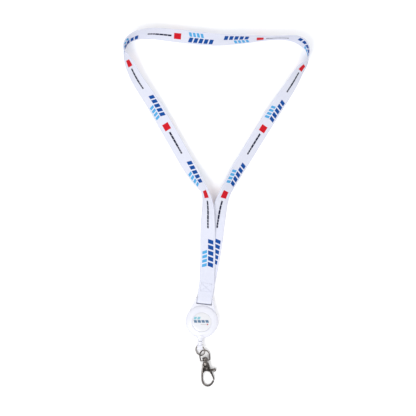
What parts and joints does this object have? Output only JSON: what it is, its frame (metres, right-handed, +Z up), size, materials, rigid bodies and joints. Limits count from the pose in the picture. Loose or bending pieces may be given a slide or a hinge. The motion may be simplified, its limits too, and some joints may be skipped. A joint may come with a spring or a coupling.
{
  "type": "lanyard",
  "caption": "White neck lanyard with a printed woven strap, a retracting cord reel sewn into its ends and a swivelling trigger hook.",
  "frame": {"origin": "centre of the bounding box of the lanyard, on the table it lies on", "axes": "+Z up from the table; +Y from the hook to the back of the neck loop; +X to the right as seen from above"},
  "size_m": [0.1888, 0.3638, 0.0151],
  "materials": {
    "strap_webbing": "flat woven polyester webbing, white with a printed pattern",
    "thread": "white polyester sewing thread",
    "white_abs": "glossy white moulded ABS",
    "label_film": "glossy printed film under a clear coat",
    "acetal": "satin natural acetal",
    "nylon_cord": "white braided nylon cord",
    "spring_steel": "blued-grey spring steel strip and wire",
    "nickel": "bright nickel-plated zinc and steel"
  },
  "bodies": {
    "strap": {"neck_strap": "strap_webbing", "stitching_front": "thread", "stitching_back": "thread"},
    "reel": {"rear_housing": "white_abs", "front_housing": "white_abs", "label_disc": "label_film", "cord_guide": "acetal", "spiral_spring": "spring_steel", "cord_lead": "nylon_cord"},
    "spool": {"spool_drum": "acetal", "spool_lid": "acetal", "cord_winding": "nylon_cord", "anchor_knot": "nylon_cord"},
    "cord_end": {"cord_end_bead": "white_abs", "cord_end_knot": "nylon_cord"},
    "ring": {"link_ring": "nickel"},
    "bail": {"swivel_bail": "nickel"},
    "hook": {"hook_body": "nickel", "swivel_rivet": "nickel", "gate_pin": "nickel", "gate_spring": "spring_steel"},
    "gate": {"gate_lever": "nickel"}
  },
  "joints": [
    {"name": "reel_swing", "type": "hinge", "parent": "strap", "child": "reel", "pos_m": [-0.01226, -0.0954, 0.0026], "axis": [0.9925, -0.1219, 0], "range_deg": [-75, 75]},
    {"name": "cord_pull", "type": "slide", "parent": "reel", "child": "cord_end", "axis": [0, -1, 0], "range_m": [0, 0.6], "stiffness_N_per_m": 2, "springref_m": -0.25},
    {"name": "spool_turn", "type": "hinge", "parent": "reel", "child": "spool", "pos_m": [-0.0147, -0.11525, 0.0042], "axis": [0, 0, -1], "range_deg": [0, 3400]},
    {"name": "ring_swing", "type": "hinge", "parent": "cord_end", "child": "ring", "pos_m": [-0.0166, -0.14045, 0.0044], "axis": [1, 0, 0], "range_deg": [-60, 75]},
    {"name": "bail_swing", "type": "hinge", "parent": "ring", "child": "bail", "pos_m": [-0.015, -0.147, 0.0025], "axis": [-0.6826, -0.7027, -0.2008], "range_deg": [-40, 35]},
    {"name": "hook_swivel", "type": "hinge", "parent": "bail", "child": "hook", "pos_m": [-0.01135, -0.15485, 0.00305], "axis": [-0.1146, 0.9908, 0.0715], "continuous": true},
    {"name": "gate_open", "type": "hinge", "parent": "hook", "child": "gate", "pos_m": [-0.00981, -0.16291, 0.00246], "axis": [-0.0082, 0.071, -0.9974], "range_deg": [0, 25], "stiffness_Nm_per_rad": 0.004, "springref_deg": -34.38}
  ],
  "couplings": [
    {"joint": "spool_turn", "follows": "cord_pull", "rad_per_m": 96.5}
  ]
}
